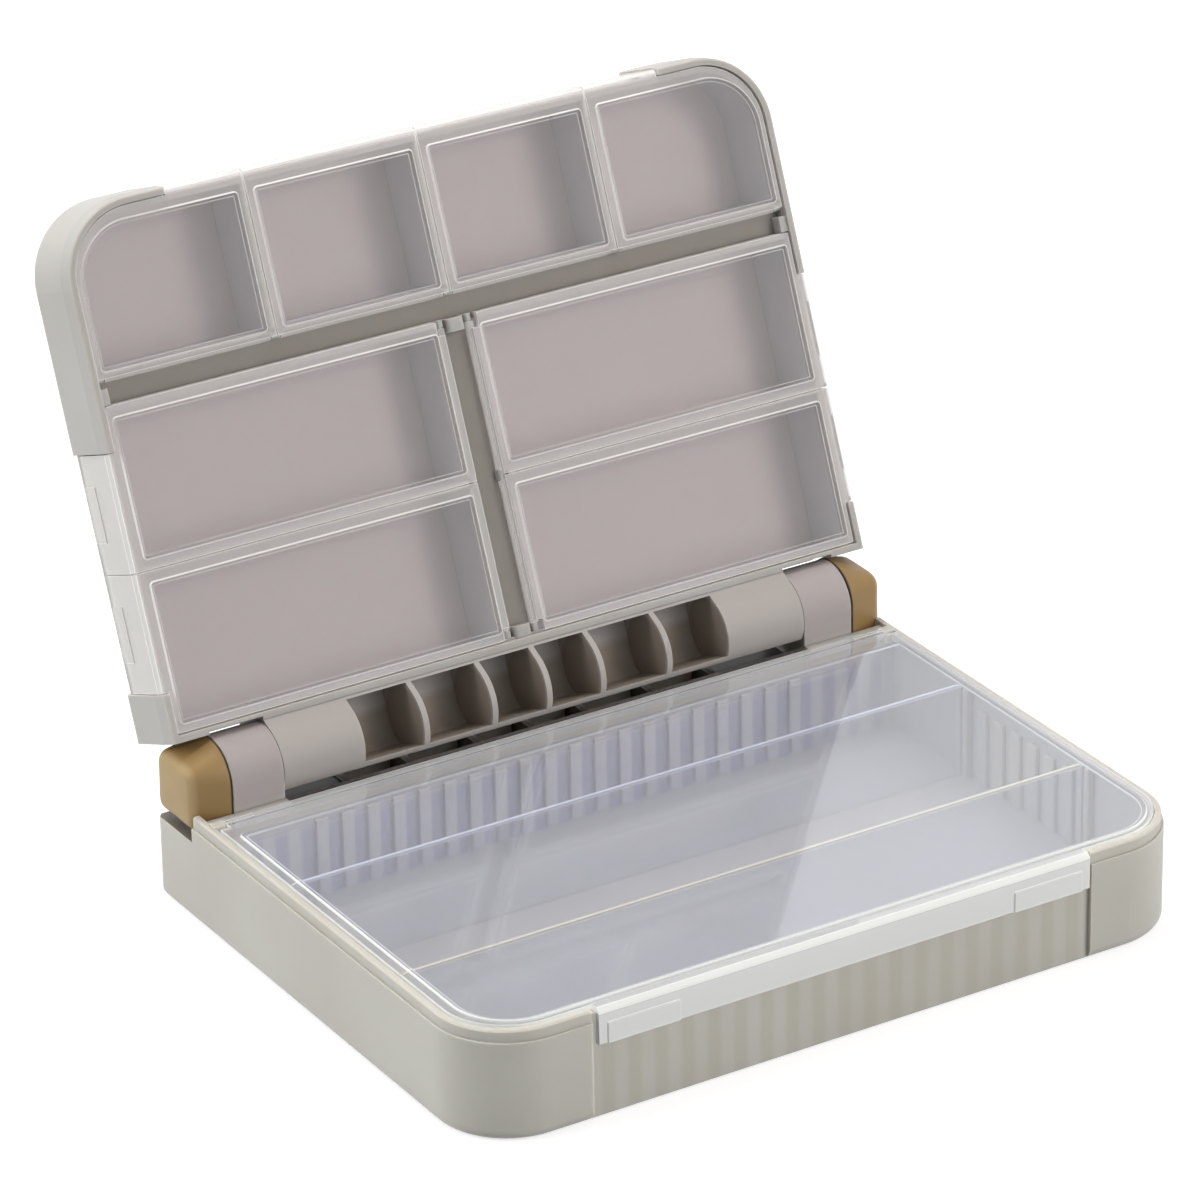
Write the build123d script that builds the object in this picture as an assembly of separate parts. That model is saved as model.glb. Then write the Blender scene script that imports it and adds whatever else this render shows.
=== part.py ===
from build123d import *
import os
from math import cos, radians, sin

# Terminal tackle box, standing open as it does on a bench. All sizes are millimetres.
# X runs along the main hinge, Y to the back, Z up. The origin is the middle of the lower
# tray's underside. The upper half is drawn in hinge coordinates: u along the hinge, v from
# the hinge pin towards the far edge, and w out of the face that carries its lids.

# Driving dimensions of the whole box
half_width = 100.5
front_y = -76.2
rear_y = 75.9
hinge_y = 66.3
hinge_z = 34.2
hinge_radius = 9.9
open_angle = 112.0
corner_radius = 19.5
base_fillet = 3.0
back_chamfer = 2.2

# Lower tray
floor_thickness = 1.8
wall = 2.2
ledge_z = 26.0
rim_top = 29.0
rim_inset = 0.6
rest_z = 28.1
rest_width = 1.2
rear_deck_z = 22.3
notch_y = 58.3
bay_half = 69.8
bay_depth = 1.3
bay_wall = 1.8
cavity_rear_y = 51.5
cavity_wall = 1.8
rear_wall_front_y = 54.2
rear_wall_back_y = 56.2
rear_wall_top = 28.0
channel_floor_z = 25.7
flange_under_z = 23.9
well_half = 54.5
well_back_y = 74.0
well_rib_thickness = 2.0
well_rib_top = 23.3
rib_count = 20
rib_pitch = 7.23
rib_width = 3.2
rib_depth = 1.1
rib_top = 22.0
post_width = 1.6
post_depth = 2.0
post_top = 26.2

# Long dividers
divider_thickness = 1.4
divider_top = 27.2
divider_ys = {"long_divider_rear": 17.0, "long_divider_front": -35.0}
side_rib_count = 6

# Lower lid
lid_plate = 1.2
lid_gap = 0.4
lid_under = 28.25
lid_panel_top = 30.0
lid_panel_inset = 1.3
lid_panel_half = 95.8
lid_panel_front = -72.6
lid_panel_rear = 43.2
lid_axis_y = 51.4
lid_axis_z = 27.8
lid_barrel_radius = 1.8
lid_barrel_half = 95.2
lid_pin_radius = 0.8
lip_half = 68.6
lip_front_y = -77.0
lip_thickness = 1.5
lip_bottom = 20.2
tab_inner = 46.6
tab_outer = 66.5
tab_top = 25.8
tab_proud = 0.4

# Main hinge
barrel_half = 75.3
knuckle_inner = 75.5
knuckle_outer = 89.6
barrel_flat_v = -7.7
barrel_inner_radius = 8.4
web_profile = [(0.0, 7.2), (6.8, 7.2), (10.2, 4.0), (10.2, -9.9), (0.0, -9.9)]
cell_walls = [-53.5, -35.2, -15.7, 0.0, 15.7, 35.2, 53.5]
cell_wall = 1.5
cell_floor_v = -6.3
cell_top_v = 9.4
pin_radius = 3.0
pin_inner = 62.0
pin_outer = 87.0
running = 0.06
cap_outer = 100.5
cap_bottom = 24.3
cap_top_outer = 40.2
cap_front_outer_y = 58.9
cap_edge = 2.0
cap_spigot = 3.6

# Upper tray
tray_near_v = 10.2
tray_far_v = 141.8
tray_back_w = -17.3
tray_floor_w = -15.5
rim_w = 4.3
rim_taper_w = 0.0
rim_taper_deg = 7.0
lid_face_w = 3.9
lid_border_w = 3.5
upper_lid_under = 2.4
seat_w = 2.3
rim_width = 2.2
near_rim = 1.8
knuckle_room = 0.8
knuckle_room_w = -4.0
knuckle_cover_v = 9.75
side_wall_inner = 97.0
far_wall_inner_v = 137.8
near_wall_inner_v = 12.6
side_recess = 1.7
far_recess = 2.3
recess_near_v = 22.5
recess_far_v = 82.3
far_recess_half = 70.3
groove_v = (93.4, 98.8)
groove_half_u = 2.9
groove_floor_w = -0.1
post_w = 3.5
bridge_half = 2.4
bridge_w = 3.3
bridge_near_v = (11.9, 15.1)
bridge_far_v = (89.9, 93.3)
bridge_notch_u = 5.8
row_v = 52.45
column_u = 48.7
partition = 1.6
upper_pin_radius = 0.5
upper_barrel_radius = 0.95
bar_cut = 0.5
upper_axis_w = 1.4
top_axis_v = 99.8
wide_axis_u = 4.0
lug_half = 1.2
lug_reach = 0.85
lug_chamfer = 0.45
panel_raise_edge = 0.35
panel_hollow_inset = 1.1
panel_under_w = 2.9
lips_depth = 15.6
lips_thickness = 1.3

upper = Plane(
    origin=(0, hinge_y, hinge_z),
    x_dir=(1, 0, 0),
    z_dir=(0, -sin(radians(open_angle)), -cos(radians(open_angle))),
)


def box(x0, x1, y0, y1, z0, z1):
    """A block given by its limits along the three axes."""
    return Pos((x0 + x1) / 2, (y0 + y1) / 2, (z0 + z1) / 2) * Box(x1 - x0, y1 - y0, z1 - z0)


def outline(x0, x1, y0, y1, near=(0, 0), far=(0, 0)):
    """A rectangle whose four corners are rounded one by one, near ones first, left to right."""
    face = Pos((x0 + x1) / 2, (y0 + y1) / 2) * Rectangle(x1 - x0, y1 - y0)
    corners = (((x0, y0), near[0]), ((x1, y0), near[1]), ((x0, y1), far[0]), ((x1, y1), far[1]))
    for (x, y), radius in corners:
        if radius > 0:
            vertex = face.vertices().sort_by_distance((x, y, 0))[0]
            face = fillet(vertex, radius)
    return face


def slab(face, z0, z1):
    """A flat outline made solid between two heights."""
    return extrude(Pos(0, 0, z0) * face, z1 - z0)


def rod_x(x0, x1, y, z, radius):
    """A round bar along X."""
    return Pos((x0 + x1) / 2, y, z) * Rot(0, 90, 0) * Cylinder(radius, x1 - x0)


def rod_y(y0, y1, x, z, radius):
    """A round bar along Y."""
    return Pos(x, (y0 + y1) / 2, z) * Rot(90, 0, 0) * Cylinder(radius, y1 - y0)


def across(face_yz, x0, x1):
    """A profile drawn with its first coordinate along Y and its second along Z, carried along X."""
    return extrude(Plane.YZ.offset(x0) * face_yz, x1 - x0)


def along(face_xz, y0, y1):
    """A profile drawn with its first coordinate along X and its second along Z, carried along Y."""
    return extrude(Plane.XZ.offset(-y0) * face_xz, -(y1 - y0))


def bottom_edges(body, keep):
    """The edges round a body's lowest face that a test lets through."""
    return [edge for edge in body.faces().sort_by(Axis.Z)[0].edges() if keep(edge)]


def rib_positions(count, pitch):
    return [(i - (count - 1) / 2) * pitch for i in range(count)]


def lower_tray():
    """The base moulding: outer shell, stepped rim, bay, ribs, hinge trough and knuckles."""
    shell = slab(outline(-half_width, half_width, front_y, rear_y, (corner_radius,) * 2), 0, ledge_z)
    shell = chamfer(shell.edges().filter_by(Axis.Z).group_by(Axis.Y)[-1], 1.2)
    shell = fillet(bottom_edges(shell, lambda edge: edge.center().Y < rear_y - 0.01), base_fillet)
    inner_radius = corner_radius - rim_inset
    rim = slab(
        outline(
            -half_width + rim_inset, half_width - rim_inset, front_y + rim_inset, rear_y - rim_inset,
            (inner_radius,) * 2,
        ),
        ledge_z, rim_top,
    )
    rim = chamfer(rim.faces().sort_by(Axis.Z)[-1].edges(), 0.4)
    body = shell + rim

    # the bay in the front wall, which the lid's lip drops into
    bay_face = front_y + bay_depth
    body -= box(-bay_half, bay_half, front_y - 2, bay_face, -1, rim_top + 1)
    body -= box(-bay_half, bay_half, front_y - 2, bay_face + bay_wall + 0.2, rest_z, rim_top + 1)

    # the main compartment, with a thicker front wall behind the bay
    side = half_width - wall
    cavity_front = front_y + wall
    body -= slab(
        outline(-side, side, cavity_front, cavity_rear_y, (corner_radius - wall,) * 2, (2, 2)),
        floor_thickness, rim_top + 1,
    )
    bay_inner = bay_face + bay_wall
    body += box(-bay_half - 1.8, bay_half + 1.8, bay_face + 0.1, bay_inner, floor_thickness - 0.5, rest_z)

    # the narrow rest for the lid, just under the rim
    rest = slab(
        outline(-side - 0.4, side + 0.4, cavity_front - 0.4, cavity_rear_y, (corner_radius - wall + 0.4,) * 2),
        rest_z - 2.2, rest_z,
    )
    rest -= slab(
        outline(
            -side + rest_width, side - rest_width, cavity_front + rest_width, cavity_rear_y + 1,
            (corner_radius - wall - rest_width,) * 2,
        ),
        rest_z - 3, rest_z + 1,
    )
    body += rest

    # behind the compartment: the ledge under the lid's barrel, the rear wall and the low deck
    body -= box(-side, side, cavity_rear_y - 0.5, rear_wall_front_y, channel_floor_z, rim_top + 1)
    body -= box(-side, side, rear_wall_front_y - 0.5, notch_y, rear_wall_top, rim_top + 1)
    body -= box(-side, side, rear_wall_back_y, notch_y + 1, rear_deck_z, rim_top + 1)
    body -= box(-half_width - 1, half_width + 1, notch_y, rear_y + 1, rear_deck_z, rim_top + 1)

    # the well under the barrel's cells, open below, with a rib under each of their walls
    well_front = cavity_rear_y + cavity_wall
    body -= box(-well_half, well_half, rear_wall_back_y, well_back_y, -1, rear_deck_z + 1)
    body -= box(-well_half, well_half, well_front, rear_wall_back_y + 0.5, -1, flange_under_z)
    for x in cell_walls:
        rib = box(
            x - well_rib_thickness / 2, x + well_rib_thickness / 2,
            well_front - 0.5, well_back_y + 0.5, 0, well_rib_top,
        )
        body += chamfer(rib.edges().filter_by(Axis.Y).group_by(Axis.Z)[-1], 0.6)

    # knuckles of the main hinge: round above, straight-sided below
    arch = Pos(hinge_y, hinge_z) * Circle(hinge_radius)
    arch += Pos(hinge_y, (rear_deck_z - 1 + hinge_z) / 2) * Rectangle(
        2 * hinge_radius, hinge_z - rear_deck_z + 1
    )
    for s in (-1, 1):
        x0, x1 = sorted((s * knuckle_inner, s * knuckle_outer))
        knuckle = across(arch, x0, x1)
        knuckle -= rod_x(x0 - 1, x1 + 1, hinge_y, hinge_z, pin_radius)
        c0, c1 = sorted((s * pin_outer, s * (knuckle_outer + 1)))
        knuckle -= box(
            c0, c1, hinge_y - cap_spigot, hinge_y + cap_spigot, hinge_z - cap_spigot, hinge_z + cap_spigot
        )
        body += knuckle - box(x0 - 1, x1 + 1, rear_y, rear_y + 5, 0, hinge_z - 2)

    # lugs that hold the lower lid's pins
    for s in (-1, 1):
        x0, x1 = sorted((s * (lid_barrel_half + 0.25), s * (side + 0.4)))
        lug = box(x0, x1, lid_axis_y - 1.9, lid_axis_y + 1.9, channel_floor_z - 0.5, lid_axis_z)
        lug += rod_x(x0, x1, lid_axis_y, lid_axis_z, 1.9)
        lug = lug - box(x0 - 1, x1 + 1, lid_axis_y - 3, lid_axis_y + 3, 29.35, 31)
        body += lug
        p0, p1 = sorted((s * (lid_barrel_half - 1), s * (side - 0.1)))
        body -= rod_x(p0, p1, lid_axis_y, lid_axis_z, lid_pin_radius)

    # upright ribs inside the front and rear walls
    for x in rib_positions(rib_count, rib_pitch):
        x0, x1 = x - rib_width / 2, x + rib_width / 2
        body += box(x0, x1, cavity_rear_y - rib_depth, cavity_rear_y + 0.5, floor_thickness - 0.5, rib_top)
        body += box(x0, x1, bay_inner - 0.5, bay_inner + rib_depth, floor_thickness - 0.5, rib_top)

    # posts that hold the ends of the long dividers, and the ribs between them
    middle = sum(divider_ys.values()) / 2
    for s in (-1, 1):
        for y in divider_ys.values():
            for t in (-1, 1):
                y0, y1 = sorted((y + t * (divider_thickness / 2 + 0.1), y + t * (divider_thickness / 2 + post_width)))
                x0, x1 = sorted((s * (side + 0.4), s * (side - post_depth)))
                body += box(x0, x1, y0, y1, floor_thickness - 0.5, post_top)
        for y in rib_positions(side_rib_count, rib_pitch):
            x0, x1 = sorted((s * (side + 0.4), s * (side - rib_depth)))
            body += box(x0, x1, middle + y - rib_width / 2, middle + y + rib_width / 2, floor_thickness - 0.5, rib_top)

    # the bead on the bay's face that the lip rides over
    body += box(-50, 50, bay_face - 0.3, bay_face + 0.5, 22.2, 22.9)
    return body


def lower_lid():
    """The clear lid of the lower tray with its raised panel, front lip and hinge barrel."""
    edge = half_width - wall - lid_gap
    plate_front = front_y + wall + lid_gap
    radius = corner_radius - wall - lid_gap
    lid = slab(
        outline(-edge, edge, plate_front, lid_axis_y - 3.4, (radius, radius)),
        lid_under, lid_under + lid_plate,
    )
    lid += slab(
        outline(-lid_barrel_half, lid_barrel_half, lid_axis_y - 4, lid_axis_y),
        lid_under, lid_under + lid_plate,
    )
    panel = slab(
        outline(-lid_panel_half, lid_panel_half, lid_panel_front, lid_panel_rear, (15, 15), (1.5, 1.5)),
        lid_under + 0.6, lid_panel_top,
    )
    lid += chamfer(panel.faces().sort_by(Axis.Z)[-1].edges(), 0.25)
    hollow = outline(
        -lid_panel_half + lid_panel_inset, lid_panel_half - lid_panel_inset,
        lid_panel_front + lid_panel_inset, lid_panel_rear - lid_panel_inset,
        (15 - lid_panel_inset,) * 2, (0.5, 0.5),
    )
    lid -= slab(hollow, lid_under - 1, lid_panel_top - lid_plate)

    # the lip hooks over the front wall
    lip_profile = Polyline(
        (plate_front + 0.5, lid_under), (plate_front + 0.5, lid_under + lid_plate),
        (lip_front_y + 1.2, lid_under + lid_plate + 0.3), (lip_front_y, lid_under + 0.4),
        (lip_front_y, lip_bottom + 0.3), (lip_front_y + 0.3, lip_bottom),
        (lip_front_y + lip_thickness, lip_bottom), (lip_front_y + lip_thickness, lid_under),
        close=True,
    )
    lid += across(make_face(lip_profile), -lip_half, lip_half)
    for s in (-1, 1):
        x0, x1 = sorted((s * tab_inner, s * tab_outer))
        tab = slab(outline(x0, x1, lip_bottom, tab_top, (0.4, 0.4), (0.6, 0.6)), 0, 0.8 + tab_proud)
        tab = chamfer(tab.faces().sort_by(Axis.Z)[-1].edges(), 0.25)
        lid += Pos(0, lip_front_y + 0.8, 0) * Rot(90, 0, 0) * tab

    # the hinge barrel, bored for the two pins
    lid += rod_x(-lid_barrel_half, lid_barrel_half, lid_axis_y, lid_axis_z, lid_barrel_radius)
    for s in (-1, 1):
        x0, x1 = sorted((s * (lid_barrel_half - 8.2), s * (lid_barrel_half + 1)))
        lid -= rod_x(x0, x1, lid_axis_y, lid_axis_z, lid_pin_radius + running)
    return lid


def lower_lid_pin(s):
    x0, x1 = sorted((s * (lid_barrel_half - 8), s * (half_width - wall - 0.15)))
    return rod_x(x0, x1, lid_axis_y, lid_axis_z, lid_pin_radius)


def long_divider(y):
    """A clear strip from wall to wall, standing between the posts."""
    half = half_width - wall - 0.15
    strip = box(-half, half, y - divider_thickness / 2, y + divider_thickness / 2, floor_thickness, divider_top)
    corners = strip.edges().filter_by(Axis.Y).group_by(Axis.Z)[-1]
    strip = fillet(corners, 4)
    top = strip.faces().sort_by(Axis.Z)[-1].edges().filter_by(Axis.X)
    return chamfer(top, 0.3)


def hinge_barrel():
    """The swinging barrel between the knuckles: six open cells and a web to the upper tray."""
    section = Circle(hinge_radius) + make_face(Polyline(*web_profile, close=True))
    section -= Pos(barrel_flat_v - 5, 0) * Rectangle(10, 30)
    barrel = extrude(Plane.YZ.offset(-barrel_half) * section, 2 * barrel_half)
    flat_edges = [e for e in barrel.edges().filter_by(Axis.X) if abs(e.center().Y - barrel_flat_v) < 0.01]
    barrel = fillet(flat_edges, 1.2)

    cell = Circle(barrel_inner_radius)
    cell += Pos(cell_top_v / 2, (12 - barrel_inner_radius) / 2) * Rectangle(cell_top_v, 12 + barrel_inner_radius)
    cell += Pos(cell_floor_v / 2, 6) * Rectangle(-cell_floor_v, 12)
    cell -= Pos(cell_floor_v - 5, 0) * Rectangle(10, 40)
    for left, right in zip(cell_walls, cell_walls[1:]):
        start = left + cell_wall / 2
        barrel -= extrude(Plane.YZ.offset(start) * cell, right - left - cell_wall)
    for s in (-1, 1):
        x0, x1 = sorted((s * (pin_inner - 0.5), s * (barrel_half + 1)))
        barrel -= rod_x(x0, x1, 0, 0, pin_radius + running)
    return upper.location * barrel


def hinge_pin(s):
    x0, x1 = sorted((s * pin_inner, s * pin_outer))
    return rod_x(x0, x1, hinge_y, hinge_z, pin_radius)


def end_cap(s):
    """The tan cap outside each knuckle: an arch that leans in on top and in front to a rounded end."""
    arch = Pos(hinge_y, hinge_z) * Circle(hinge_radius)
    arch += Pos(hinge_y, (cap_bottom + hinge_z) / 2) * Rectangle(2 * hinge_radius, hinge_z - cap_bottom)
    cap = across(arch, knuckle_outer, cap_outer)

    # as seen from the front: the sloping top and its rounded outer corner
    front_view = make_face(Polyline(
        (knuckle_outer, cap_bottom), (cap_outer, cap_bottom), (cap_outer, cap_top_outer),
        (knuckle_outer, hinge_z + hinge_radius), close=True,
    ))
    front_view = fillet(front_view.vertices().sort_by_distance((cap_outer, cap_top_outer, 0))[0], cap_edge)
    cap &= along(front_view, front_y, rear_y + 5)

    # as seen from above: the slanting front and both rounded outer corners
    rear = hinge_y + hinge_radius
    top_view = make_face(Polyline(
        (knuckle_outer, hinge_y - hinge_radius), (cap_outer, cap_front_outer_y), (cap_outer, rear),
        (knuckle_outer, rear), close=True,
    ))
    for y in (cap_front_outer_y, rear):
        top_view = fillet(top_view.vertices().sort_by_distance((cap_outer, y, 0))[0], cap_edge)
    cap &= slab(top_view, cap_bottom - 1, hinge_z + 20)
    reach = cap_spigot - 0.05
    cap += box(
        pin_outer + 0.1, knuckle_outer + 2.5, hinge_y - reach, hinge_y + reach, hinge_z - reach, hinge_z + reach
    )
    return cap if s > 0 else mirror(cap, about=Plane.YZ)


def lug_profile(centre):
    """A small upright lug with cut corners on top and a round bore at the height of the axis."""
    top = upper_axis_w + lug_reach + 0.05
    cut = lug_chamfer
    profile = Polyline(
        (centre - lug_reach, groove_floor_w - 0.5), (centre - lug_reach, top - cut),
        (centre - lug_reach + cut, top), (centre + lug_reach - cut, top),
        (centre + lug_reach, top - cut), (centre + lug_reach, groove_floor_w - 0.5), close=True,
    )
    return make_face(profile) - Pos(centre, upper_axis_w) * Circle(upper_pin_radius + running)


def upper_tray():
    """The upper moulding, drawn in hinge coordinates with its eight compartments towards +w."""
    far_radius = (corner_radius,) * 2
    body = slab(outline(-half_width, half_width, tray_near_v, tray_far_v, far=far_radius), tray_back_w, rim_taper_w)
    body = chamfer(bottom_edges(body, lambda edge: edge.center().Y > tray_near_v + 0.01), back_chamfer)

    # towards the rim the outside leans in a little
    leaning = outline(-half_width, half_width, tray_near_v - 5, tray_far_v, far=far_radius)
    leaning = extrude(Pos(0, 0, rim_taper_w) * leaning, rim_w - rim_taper_w, taper=rim_taper_deg)
    leaning = chamfer(leaning.faces().sort_by(Axis.Z)[-1].edges(), 0.35)
    body += leaning & box(-half_width, half_width, tray_near_v, tray_far_v, rim_taper_w - 1, rim_w + 1)

    # the sunk face that the lids lie in, inside the proud rim
    body -= slab(
        outline(
            -half_width + rim_width, half_width - rim_width, tray_near_v + near_rim, tray_far_v - rim_width,
            far=(corner_radius - rim_width,) * 2,
        ),
        seat_w, rim_w + 1,
    )

    # recesses in the side and far walls for the lips of the lids
    for s in (-1, 1):
        x0, x1 = sorted((s * (half_width - side_recess), s * (half_width + 1)))
        body -= box(x0, x1, recess_near_v, recess_far_v, tray_back_w - 1, rim_w + 1)
        x0, x1 = sorted((s * (half_width - rim_width - 1), s * (half_width + 1)))
        body -= box(x0, x1, recess_near_v, recess_far_v, seat_w, rim_w + 1)
    body -= box(-far_recess_half, far_recess_half, tray_far_v - far_recess, tray_far_v + 1, tray_back_w - 1, rim_w + 1)
    body -= box(-far_recess_half, far_recess_half, tray_far_v - far_recess - 1, tray_far_v + 1, seat_w, rim_w + 1)

    # room for the knuckles beside the barrel, with a cover close behind them
    for s in (-1, 1):
        x0, x1 = sorted((s * barrel_half, s * (knuckle_outer + 0.6)))
        body -= box(x0, x1, tray_near_v - 1, tray_near_v + knuckle_room, knuckle_room_w, rim_w + 1)
        x0, x1 = sorted((s * (barrel_half + 0.2), s * (knuckle_outer - 0.2)))
        body += box(x0, x1, knuckle_cover_v, tray_near_v + 0.5, tray_back_w, knuckle_room_w)

    # the bars under the grooves are hollow from behind
    bar_v = (groove_v[0] - partition, groove_v[1] + partition + 1.1)
    bar_u = groove_half_u + partition + 1.1
    roof_w = groove_floor_w - partition
    body -= box(
        -side_wall_inner + 1, side_wall_inner - 1, bar_v[0] + partition, bar_v[1] - partition,
        tray_back_w - 1, roof_w,
    )
    body -= box(
        -bar_u + partition, bar_u - partition, near_wall_inner_v + 1, bar_v[0] + partition + 1,
        tray_back_w - 1, roof_w,
    )
    for u in (-72.8, -24.3, 24.3, 72.8):
        body += box(u - 0.8, u + 0.8, bar_v[0], bar_v[1], tray_floor_w, groove_floor_w - 0.5)
    for v in (32.5, 72.6):
        body += box(-bar_u, bar_u, v - 0.8, v + 0.8, tray_floor_w, groove_floor_w - 0.5)

    # four small compartments in the far row
    edges = [-side_wall_inner, -column_u, 0.0, column_u, side_wall_inner]
    near_v = groove_v[1] + partition
    for i, (left, right) in enumerate(zip(edges, edges[1:])):
        x0 = left + (partition / 2 if i > 0 else 0)
        x1 = right - (partition / 2 if i < 3 else 0)
        far = (16 if i == 0 else 0, 16 if i == 3 else 0)
        body -= slab(outline(x0, x1, near_v + 1.1, far_wall_inner_v, far=far), tray_floor_w, rim_w)

    # four wide compartments in two rows, left and right of the middle groove
    for s in (-1, 1):
        x0, x1 = sorted((s * (groove_half_u + 1.6 + 1.1), s * side_wall_inner))
        for v0, v1 in ((near_wall_inner_v, row_v - partition / 2), (row_v + partition / 2, groove_v[0] - partition)):
            body -= box(x0, x1, v0, v1, tray_floor_w, rim_w)

    # grooves beside the lid hinges
    body -= box(-side_wall_inner - 1, side_wall_inner + 1, groove_v[0], top_axis_v + 1.8, groove_floor_w, rim_w)
    body -= box(-wide_axis_u - 1.8, wide_axis_u + 1.8, near_wall_inner_v, groove_v[0] + 1, groove_floor_w, rim_w)

    # posts at the ends of the long groove and rounded bridges at the ends of the middle one
    for s in (-1, 1):
        x0, x1 = sorted((s * (side_wall_inner - 0.8), s * (half_width - rim_width + 0.1)))
        body += box(x0, x1, groove_v[0] + 0.1, groove_v[0] + 4.1, groove_floor_w - 0.5, post_w)
    for v0, v1 in (bridge_near_v, bridge_far_v):
        bridge = box(-bridge_half, bridge_half, v0, v1, groove_floor_w - 0.5, bridge_w)
        body += fillet(bridge.edges().filter_by(Axis.Y).group_by(Axis.Z)[-1], 1.4)

    # lugs with bores for the lids' pivots
    for u in (-side_wall_inner - 0.2, -column_u, 0.0, column_u, side_wall_inner + 0.2):
        body += across(lug_profile(top_axis_v), u - lug_half, u + lug_half)
    for s in (-1, 1):
        for v in (near_wall_inner_v + 0.9, row_v, groove_v[0] - 0.9):
            half = lug_half if v == row_v else 0.9
            body += along(lug_profile(s * wide_axis_u), v - half, v + half)
    return upper.location * body


def raised_panel(u0, u1, v0, v1, far=(1.2, 1.2)):
    panel = slab(outline(u0, u1, v0, v1, (1.2, 1.2), far), lid_border_w, lid_face_w)
    return chamfer(panel.faces().sort_by(Axis.Z)[-1].edges(), panel_raise_edge)


def panel_hollow(u0, u1, v0, v1, far=(0, 0)):
    """The shallow hollow under a raised panel."""
    d = panel_hollow_inset
    return slab(outline(u0 + d, u1 - d, v0 + d, v1 - d, far=far), upper_lid_under - 1, panel_under_w)


def hinge_edge():
    """A lid's hinge edge: its corners cut towards the groove, square under the plate."""
    r = upper_barrel_radius
    foot = upper_axis_w - r
    return make_face(Polyline(
        (-r, foot + bar_cut), (-r + bar_cut, foot), (r, foot), (r, upper_lid_under + 0.2),
        (0, upper_lid_under + 0.2), (0, foot + 2 * r), (-r + bar_cut, foot + 2 * r), (-r, foot + 2 * r - bar_cut),
        close=True,
    ))


def top_lid(index):
    """A lid of the far row; its pivots are on the near edge and its lip hooks over the far wall."""
    seams = [-half_width + rim_width + 0.4, -column_u, 0.0, column_u, half_width - rim_width - 0.4]
    panels = [(-96.8, -50.9), (-46.8, -1.9), (1.9, 46.8), (50.9, 96.8)]
    u0 = seams[index] + (0.2 if index > 0 else 0)
    u1 = seams[index + 1] - (0.2 if index < 3 else 0)
    far_edge = tray_far_v - rim_width - 0.4
    round_far = (corner_radius - 2.6 if index == 0 else 0.3, corner_radius - 2.6 if index == 3 else 0.3)
    lid = slab(outline(u0, u1, top_axis_v, far_edge, (0, 0), round_far), upper_lid_under, lid_border_w)
    p0, p1 = panels[index]
    panel_far = (14.5 if index == 0 else 1.2, 14.5 if index == 3 else 1.2)
    lid += raised_panel(p0, p1, 101.2, 136.3, panel_far)
    hollow_far = (13.4 if index == 0 else 0, 13.4 if index == 3 else 0)
    lid -= panel_hollow(p0, p1, 101.2, 136.3, hollow_far)

    # near edge: a bar between the lugs with a stub pivot at each end
    lug_u = [-side_wall_inner - 0.2, -column_u, 0.0, column_u, side_wall_inner + 0.2]
    b0 = lug_u[index] + lug_half + 0.25
    b1 = lug_u[index + 1] - lug_half - 0.25
    lid += across(Pos(top_axis_v, 0) * hinge_edge(), b0, b1)
    lid += rod_x(b0 - 1.2, b1 + 1.2, top_axis_v, upper_axis_w, upper_pin_radius)

    # far edge: the lip over the recessed wall
    l0 = max(u0, -far_recess_half + 0.3)
    l1 = min(u1, far_recess_half - 0.3)
    wall_face = tray_far_v - far_recess + 0.35
    outer = wall_face + lips_thickness
    profile = Polyline(
        (far_edge - 1, upper_lid_under), (far_edge - 1, lid_border_w), (outer - 0.8, lid_border_w),
        (outer, lid_border_w - 0.8), (outer, lid_face_w - lips_depth), (wall_face, lid_face_w - lips_depth),
        (wall_face, upper_lid_under), close=True,
    )
    lid += across(make_face(profile), l0, l1)
    return upper.location * lid


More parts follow.
